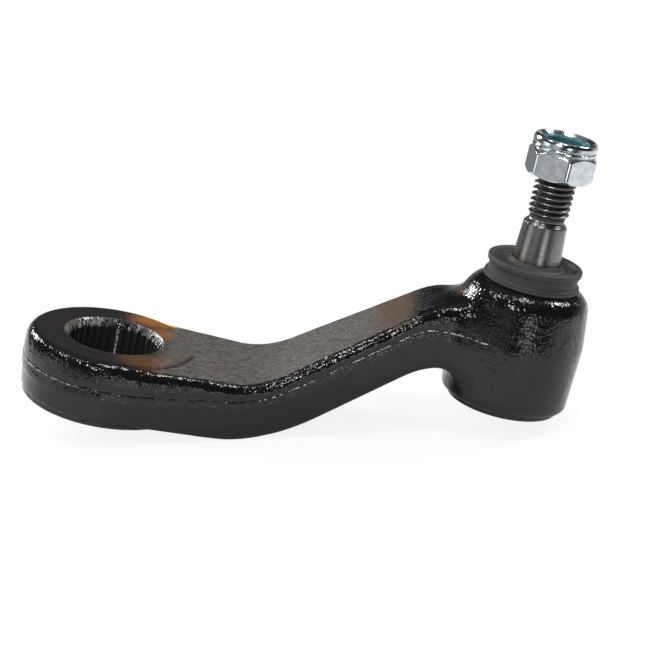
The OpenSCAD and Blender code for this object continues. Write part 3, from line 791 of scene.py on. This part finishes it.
# The pressure cup and the half ball are turned from steel and ground on their round seats. Fine rings of the
# tool stay on them, as they do on the stud.
turned_marks, given, put = effect_group(
    "turned_marks", (("Place", "NodeSocketVector"), ("Depth", "NodeSocketFloat")), ("Height", "Streak")
)
fine_rings = grain(turned_marks, given["Place"], (60, 60, 0.10), 1.0)
wide_rings = grain(turned_marks, given["Place"], (40, 40, 0.5), 2.0)
rings_height = product_of(turned_marks, sum_of(turned_marks, fine_rings, wide_rings), given["Depth"])
turned_marks.links.new(rings_height, put["Height"])
turned_marks.links.new(wide_rings, put["Streak"])

ground_steel, shader, tree, place = new_material("bearing_steel")
rings = node(tree, "ShaderNodeGroup", {"node_tree": turned_marks}, Place=place, Depth=0.006)
oil = grain(tree, place, (5, 5, 5), 3.0)
colour = mixed(tree, oil, (0.56, 0.56, 0.57), (0.4, 0.39, 0.37))
roughness = sum_of(tree, 0.16, product_of(tree, oil, 0.22))
finish_with(tree, shader, colour, roughness, rings.outputs["Height"], metal=1.0)
for name in ("pressure_cup", "half_ball"):
    frame["nodes"][name].data.materials.clear()
    frame["nodes"][name].data.materials.append(ground_steel)


# The stud is turned from steel bar: a domed head that lies in the cup, a shank, the taper that seats in the
# link, an undercut and a rolled M14 x 2 thread. It is bare and oiled, and brown where the rubber grips it.
ball_r, head_r, head_top = 14.3, 12.4, 30.9
shank_r, taper_foot, taper_top_r, taper_top = 8.7, 49.2, 7.394, 69.4
undercut_r, undercut_foot, thread_foot, stud_tip = 6.0, 70.8, 71.7, 95.3
thread_r, thread_root_r, thread_pitch = 7.0, 5.77, 2.0
tip_chamfer = 1.2
stud_turns = 96
thread_profile = [
    (0.0, thread_r), (0.15, thread_r - 0.05), (0.49, thread_r - 0.64), (0.83, thread_root_r + 0.06),
    (1.0, thread_root_r), (1.17, thread_root_r + 0.06), (1.51, thread_r - 0.64), (1.85, thread_r - 0.05),
]


def thread_points():
    """A helical sheet of points and faces, faded out at both ends into plain rings."""
    rows = len(thread_profile)
    turns = math.ceil((stud_tip - thread_foot) / thread_pitch) + 1
    levels = [(thread_pitch * t + lift, r) for t in range(-1, turns) for lift, r in thread_profile]
    points = []
    for i in range(stud_turns):
        angle = 2 * math.pi * i / stud_turns
        for lift, r in levels:
            z = thread_foot + lift + thread_pitch * i / stud_turns
            z = min(max(z, thread_foot), stud_tip)
            start = min((z - thread_foot) / 1.4, 1)
            end = min((stud_tip - z) / 0.5, 1)
            tip_r = thread_r - tip_chamfer
            r = undercut_r + (r - undercut_r) * start
            r = tip_r + (min(r, thread_r - max(z - stud_tip + tip_chamfer, 0)) - tip_r) * end
            points.append((reach + r * math.cos(angle), r * math.sin(angle), z))
    size = len(levels)
    faces = []
    for i in range(stud_turns):
        j = (i + 1) % stud_turns
        ahead = rows if j == 0 else 0
        for k in range(size - 1 - ahead):
            faces.append((i * size + k, j * size + k + ahead, j * size + k + ahead + 1, i * size + k + 1))
    return points, faces


dome = [
    (ball_r * math.sin(a), ball_z - ball_r * math.cos(a))
    for a in np.linspace(0, math.asin(head_r / ball_r), 10)
]
body = dome + filleted([
    (head_r, head_top, 0.4), (shank_r, head_top, 0.3), (shank_r, taper_foot, 6),
    (taper_top_r + 0.02, taper_top - 0.2, 0.5), (undercut_r + 0.3, undercut_foot - 0.45, 0.6),
    (undercut_r, undercut_foot, 0.4), (undercut_r, thread_foot),
])
points, faces = lathe(body + [(0, thread_foot)], stud_turns, (reach, 0))
size = len(body) + 1
faces = [f for f in faces if f[0] % size < size - 2]
more_points, more_faces = thread_points()
start = len(points)
points = points + more_points
faces = faces + [tuple(v + start for v in f) for f in more_faces]
start = len(points)
tip_r = thread_r - tip_chamfer
around = [2 * math.pi * i / stud_turns for i in range(stud_turns)]
points += [(reach + tip_r * math.cos(a), tip_r * math.sin(a), stud_tip) for a in around]
faces.append([start + i for i in range(stud_turns)])
stud = mesh_object("turned_stud", points, faces)
tidy_mesh(stud, 32, merge=0.004)

steel, shader, tree, place = new_material("machined_steel")
z = node(tree, "ShaderNodeSeparateXYZ", Vector=place).outputs[2]
rings = node(tree, "ShaderNodeGroup", {"node_tree": turned_marks}, Place=place, Depth=0.02)
on_thread = fade(tree, z, 70.6, 71.6)
low = fade(tree, z, 56, 50)
mottle = grain(tree, place, (1.8, 1.8, 6), 4.0, 0.6)
colour = mixed(tree, rings.outputs["Streak"], (0.175, 0.17, 0.168), (0.245, 0.24, 0.236))
colour = mixed(tree, product_of(tree, fade(tree, mottle, 0.4, 0.75), 0.5), colour, (0.16, 0.14, 0.122))
brown = product_of(tree, patch(tree, place, (reach - 7.5, -3, 53), (3, 6, 9), mottle), 0.5)
brown = math_of(tree, "MAXIMUM", brown, product_of(tree, low, fade(tree, mottle, 0.45, 0.6), 0.6))
colour = mixed(tree, brown, colour, (0.27, 0.16, 0.075))
# The thread's roots are painted dark: painted shade in the roots.
deep = product_of(tree, on_thread, fade(tree, from_stud(tree, place), 6.8, 6.1))
colour = mixed(tree, on_thread, colour, (0.30, 0.295, 0.285))
colour = mixed(tree, product_of(tree, deep, 0.9), colour, (0.035, 0.03, 0.026))
roughness = sum_of(tree, 0.21, product_of(tree, mottle, 0.14), product_of(tree, deep, 0.2))
finish_with(tree, shader, colour, roughness, rings.outputs["Height"], metal=1.0)
stud.data.materials.append(steel)
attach(stud, "stud")
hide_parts("tapered_stud")


# The dust boot is a moulded rubber ring. Its ribbed base lies on the housing, its dish grips the stud below
# the link, and its outer lip seals under the link.
boot_r, waist_r, lip_r, lip_in_r = 16.5, 15.4, 16.3, 14.3
boot_mouth_r, boot_hug_r = 14.55, 8.45
boot_corners = [
    (boot_mouth_r, 0.06, 0), (15.6, 0.04, 0), (boot_r - 0.25, -0.1, 0.1), (boot_r, 0.15, 0.2),
    (boot_r, 0.8, 0.15), (boot_r - 0.28, 0.98, 0.1), (boot_r - 0.28, 1.12, 0.1), (boot_r - 0.1, 1.3, 0.15),
    (boot_r - 0.25, 1.65, 0.2),
    (waist_r + 0.1, 1.85, 0.4), (waist_r, 3.2, 3), (waist_r + 0.1, 4.6, 0.5), (waist_r + 0.3, 4.85, 0.1),
    (lip_r - 0.35, 5.15, 0.25), (lip_r - 0.42, 5.38, 0.08), (lip_r - 0.12, 5.55, 0.2), (lip_r, 6.4, 1),
    (lip_r - 0.1, 7.4, 0.75), (lip_in_r + 0.55, 7.4, 0.3), (lip_in_r, 7.15, 0.3), (13.6, 6.15, 0.5),
    (12.3, 6.1, 0.6), (11.5, 6.5, 0.5), (10.6, 6.05, 0.6), (9.6, 6.5, 0.8), (8.75, 7.6, 0.4),
    (boot_hug_r, 8.0, 0.15), (boot_hug_r + 0.12, 6.0, 0.3), (11.4, 4.2, 1.0), (13.4, 3.2, 1.0),
    (13.95, 1.2, 0.5),
]
boot_profile = [(r, h + housing_top) for r, h in filleted(boot_corners)]


def pinched(angle, radius, height):
    """Small wrinkles in the dish, where the rubber is pressed against the stud."""
    inside = max(0.0, 1 - abs(radius - 11.2) / 2.2)
    return radius + 0.16 * inside * math.sin(9 * angle + 2 * math.sin(3 * angle))


boot = turned_piece("moulded_boot", boot_profile, 144, (reach, 0), pinched, 50)
rubber, shader, tree, place = new_material("boot_rubber")
bloom = grain(tree, place, (3, 3, 2), 4.0, 0.6)
dust = fade(tree, grain(tree, place, (0.6, 0.6, 0.6), 3.0, 0.7), 0.55, 0.75)
colour = mixed(tree, bloom, (0.020, 0.020, 0.0215), (0.034, 0.034, 0.037))
# The dish is painted darker: painted shade in the hollow between the lip and the stud.
dish_shade = product_of(tree, fade(tree, from_stud(tree, place), 14.6, 13.4), 0.6)
colour = mixed(tree, dish_shade, colour, (0.010, 0.010, 0.0105))
colour = mixed(tree, product_of(tree, dust, 0.2), colour, (0.09, 0.087, 0.083))
skin_height = sum_of(
    tree, product_of(tree, grain(tree, place, (0.35, 0.35, 0.35), 2.0), 0.03),
    product_of(tree, grain(tree, place, (1.4, 1.4, 1.4), 2.0), 0.05),
)
finish_with(tree, shader, colour, sum_of(tree, 0.5, product_of(tree, bloom, 0.2)), skin_height)
boot.data.materials.append(rubber)
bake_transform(boot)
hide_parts("dust_boot")


# The lock nut is cold formed from steel and bright zinc plated, with a bluish tinge. Its collar is rolled in
# over a nylon ring, which grips the thread.
nut_z = 85.7
hex_h, nut_h = 9.0, 13.6
flat_r, hex_slope = 10.5, 0.862
collar_r, insert_r, lip_foot_r, bore_r = 10.8, 9.4, 8.3, 7.06
nut_turned = math.radians(37)
corner_soft = 1.2
hex_chamfer, rise_steps, insert_deep = 1.75, 14, 4.3


def soft_least(a, b, size):
    return min(a, b) - max(size - abs(a - b), 0) ** 2 / (4 * size)


def hexagonal(angle, radius, height):
    """Holds the profile inside the hexagon, up to the hexagon's top."""
    if height > hex_h + 0.01 or radius < flat_r - 0.4:
        return radius
    sixth = math.pi / 3
    around = (angle - nut_turned) % sixth
    one = flat_r / math.cos(around - sixth / 2)
    if around < sixth / 2:
        other = flat_r / math.cos(around + sixth / 2)
    else:
        other = flat_r / math.cos(sixth * 1.5 - around)
    return soft_least(soft_least(one, other, corner_soft), radius, 0.35)


def nut_profile():
    """The nut's outline from its seat over the collar and down the bore."""
    rise = hex_chamfer
    outer = flat_r + rise / hex_slope
    steps = [k / rise_steps for k in range(rise_steps + 1)]
    rows = [(flat_r - 0.6, 0), (flat_r - 0.3, 0.02)]
    rows += [(flat_r + rise * s / hex_slope, rise * s) for s in steps]
    rows += [(outer, rise + (hex_h - 2 * rise) * k / 6) for k in range(1, 6)]
    rows += [(flat_r + rise * (1 - s) / hex_slope, hex_h - rise + rise * s) for s in steps]
    collar = filleted([
        (flat_r - 0.32, hex_h + 0.02, 0.05), (collar_r - 0.5, hex_h + 0.12, 0.1),
        (collar_r - 0.45, hex_h + 0.35, 0.1), (collar_r, hex_h + 0.5, 0.25), (collar_r, hex_h + 1.25, 0.25),
        (collar_r - 0.38, hex_h + 1.5, 0.12), (collar_r - 0.32, hex_h + 1.75, 0.12),
        (collar_r - 0.05, hex_h + 2.1, 0.3), (collar_r, nut_h - 1.3, 0.6),
        (collar_r - 0.35, nut_h - 0.35, 0.7), (collar_r - 1.1, nut_h, 0.6),
        (insert_r + 0.15, nut_h - 0.05, 0.3), (lip_foot_r + 0.1, nut_h - 1.2, 0.12),
        (lip_foot_r + 0.15, nut_h - 1.32, 0.08),
    ])
    inside = [
        (insert_r, nut_h - 1.4), (insert_r, nut_h - insert_deep), (bore_r, nut_h - insert_deep),
        (bore_r, 1.0), (bore_r + 0.95, 0.0),
    ]
    return [(r, h + nut_z) for r, h in rows + collar + inside]


nut = turned_piece(
    "plated_nut", nut_profile(), 288, (reach, 0), lambda a, r, h: hexagonal(a, r, h - nut_z), 50,
)
zinc, shader, tree, place = new_material("zinc_plate")
cloud = grain(tree, place, (2.2, 2.2, 2.2), 3.0, 0.6)
scratch = fade(tree, grain(tree, place, (0.25, 0.25, 3.5), 2.0), 0.62, 0.7)
spots = grain(tree, place, (0.45, 0.45, 0.45), 2.0)
colour = mixed(tree, fade(tree, cloud, 0.3, 0.7), (0.42, 0.49, 0.545), (0.63, 0.665, 0.69))
colour = mixed(tree, product_of(tree, scratch, 0.3), colour, (0.8, 0.82, 0.83))
height = sum_of(
    tree, product_of(tree, spots, 0.002), product_of(tree, cloud, 0.008), product_of(tree, scratch, 0.003),
)
finish_with(tree, shader, colour, sum_of(tree, 0.11, product_of(tree, cloud, 0.12)), height, metal=1.0)
nut.data.materials.append(zinc)
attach(nut, "nut")
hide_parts("lock_nut")


# The locking ring is cut from blue-green nylon and lies in the nut's collar under the rolled rim. Its bore is
# pressed over the thread as the nut is run on.
nylon_z, nylon_h, nylon_r = 95.0, 3.1, 9.34
nylon_profile = filleted([
    (bore_r, nylon_z, 0.2), (nylon_r, nylon_z, 0.3), (nylon_r, nylon_z + nylon_h, 0.3),
    (bore_r + 0.45, nylon_z + nylon_h, 0.35), (bore_r, nylon_z + nylon_h - 0.6, 0.35),
])
insert = turned_piece("locking_ring", nylon_profile, 96, (reach, 0), smooth_angle=50)
nylon, shader, tree, place = new_material("nylon")
cloud = grain(tree, place, (1.5, 1.5, 1.5), 3.0)
rings = node(tree, "ShaderNodeGroup", {"node_tree": turned_marks}, Place=place, Depth=0.01)
colour = mixed(tree, cloud, (0.012, 0.075, 0.10), (0.03, 0.13, 0.16))
finish_with(tree, shader, colour, sum_of(tree, 0.28, product_of(tree, cloud, 0.2)), rings.outputs["Height"])
insert.data.materials.append(nylon)
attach(insert, "nut_ring")
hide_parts("nylon_insert")


# Floor and light: a plain white sheet that the arm lies on, which ends a hand's breadth in front of it, a
# white backdrop behind, and five soft lamps. What is in front of the arm is dark, as in a room.
floor_normal = (camera_up * math.cos(camera_elevation) + back * math.sin(camera_elevation)).normalized()
lowest = min(
    floor_normal.dot(v.co) for n in ("arm_forging", "cover_plate") for v in frame["nodes"][n].data.vertices
)
floor_right = (camera_right - camera_right.dot(floor_normal) * floor_normal).normalized()
floor_deep = floor_normal.cross(floor_right)
floor_centre = camera_target + (lowest - floor_normal.dot(camera_target)) * floor_normal
floor_side, floor_front, floor_behind = 0.4, 0.13, 0.3
floor = added("floor", bpy.data.meshes.new("floor"))
corners = [
    floor_centre + side * floor_side * floor_right + deep * floor_deep
    for side, deep in ((-1, -floor_front), (1, -floor_front), (1, floor_behind), (-1, floor_behind))
]
floor.data.from_pydata(corners, [], [(0, 1, 2, 3)])
floor_paint, shader, tree, place = new_material("floor")
shader.inputs["Base Color"].default_value = (0.66, 0.66, 0.66, 1)
shader.inputs["Roughness"].default_value = 1
shader.inputs["Specular IOR Level"].default_value = 0
light_path = node(tree, "ShaderNodeLightPath")
away = vector_of(tree, "LENGTH", vector_of(tree, "SUBTRACT", place, tuple(floor_centre / mm)))
white_share = sum_of(tree, 0.88, product_of(tree, fade(tree, away, 70, 120), 0.12))
white = node(tree, "ShaderNodeEmission", Color=(1, 1, 1, 1), Strength=1.0)
both = node(tree, "ShaderNodeMixShader")
feed(tree, both.inputs[0], product_of(tree, light_path.outputs["Is Camera Ray"], white_share))
feed(tree, both.inputs[1], shader.outputs[0])
feed(tree, both.inputs[2], white.outputs[0])
tree.links.new(both.outputs[0], tree.nodes["Material Output"].inputs["Surface"])
floor.data.materials.append(floor_paint)

world = bpy.data.worlds.new("studio")
bpy.context.scene.world = world
world.use_nodes = True
tree = world.node_tree
tree.nodes.clear()
light_path = node(tree, "ShaderNodeLightPath")
direction = node(tree, "ShaderNodeTexCoord").outputs["Generated"]


def seen_from_camera(right, up, toward):
    """A direction given as the camera sees it."""
    return (right * camera_right + up * camera_up + toward * back).normalized()


def bright_toward(direction, aim, reach_out, value):
    """A soft bright spot around aim that fades out at the angle reach_out in degrees."""
    near = vector_of(tree, "DOT_PRODUCT", direction, tuple(aim))
    rim, core = math.cos(math.radians(reach_out)), math.cos(math.radians(reach_out * 0.3))
    return product_of(tree, fade(tree, near, rim, core), value)


height = vector_of(tree, "DOT_PRODUCT", direction, tuple(floor_normal))
behind = fade(tree, vector_of(tree, "DOT_PRODUCT", direction, tuple(-back)), 0.0, 0.5)
to_right = fade(tree, vector_of(tree, "DOT_PRODUCT", direction, tuple(camera_right)), -0.3, 0.15)
low_enough = fade(tree, height, 0.26, 0.08)
backdrop = product_of(tree, behind, low_enough, sum_of(tree, 0.25, product_of(tree, to_right, 0.3)))
backdrop = sum_of(
    tree, backdrop, 0.03,
    bright_toward(direction, seen_from_camera(-0.63, -0.34, 0.70), 22, 0.6),
    bright_toward(direction, seen_from_camera(-0.97, -0.03, 0.23), 20, 1.7),
    bright_toward(direction, seen_from_camera(0.15, -0.47, 0.87), 12, 4.0),
    bright_toward(direction, seen_from_camera(0.80, -0.53, 0.28), 30, 0.4),
    bright_toward(direction, seen_from_camera(0, 1, 0.1), 40, 0.25),
)
lit_strength = 0.5
glossy, through = light_path.outputs["Is Glossy Ray"], light_path.outputs["Is Transmission Ray"]
shiny = math_of(tree, "MAXIMUM", glossy, through)
seen = mixed(tree, shiny, (lit_strength, lit_strength, lit_strength), backdrop)
seen = mixed(tree, light_path.outputs["Is Camera Ray"], seen, (1, 1, 1))
sky = node(tree, "ShaderNodeBackground", Color=seen, Strength=1.0)
output = node(tree, "ShaderNodeOutputWorld")
tree.links.new(sky.outputs[0], output.inputs["Surface"])


lamp_distance = 0.8


def softbox(name, direction, width, depth, power):
    """A rectangular lamp that faces the arm from a direction given as the camera sees it."""
    toward = seen_from_camera(*direction)
    lamp = bpy.data.lights.new(name, "AREA")
    lamp.shape = "RECTANGLE"
    lamp.size, lamp.size_y = width, depth
    lamp.energy = power
    stand = added(name, lamp)
    side = (camera_right - camera_right.dot(toward) * toward).normalized()
    stand.matrix_world = turned(side, toward.cross(side), toward, camera_target + lamp_distance * toward)


softbox("lamp_left_behind", (-0.66, 0.64, -0.38), 0.18, 0.16, 3.6)
softbox("lamp_by_camera", (-0.27, 0.27, 0.93), 0.10, 0.10, 2.0)
softbox("lamp_right", (0.71, 0.70, -0.02), 0.22, 0.14, 3.0)
softbox("lamp_overhead", (0.20, 0.86, 0.47), 0.20, 0.09, 2.4)
softbox("lamp_over_left", (-0.42, 0.80, 0.43), 0.11, 0.11, 1.5)
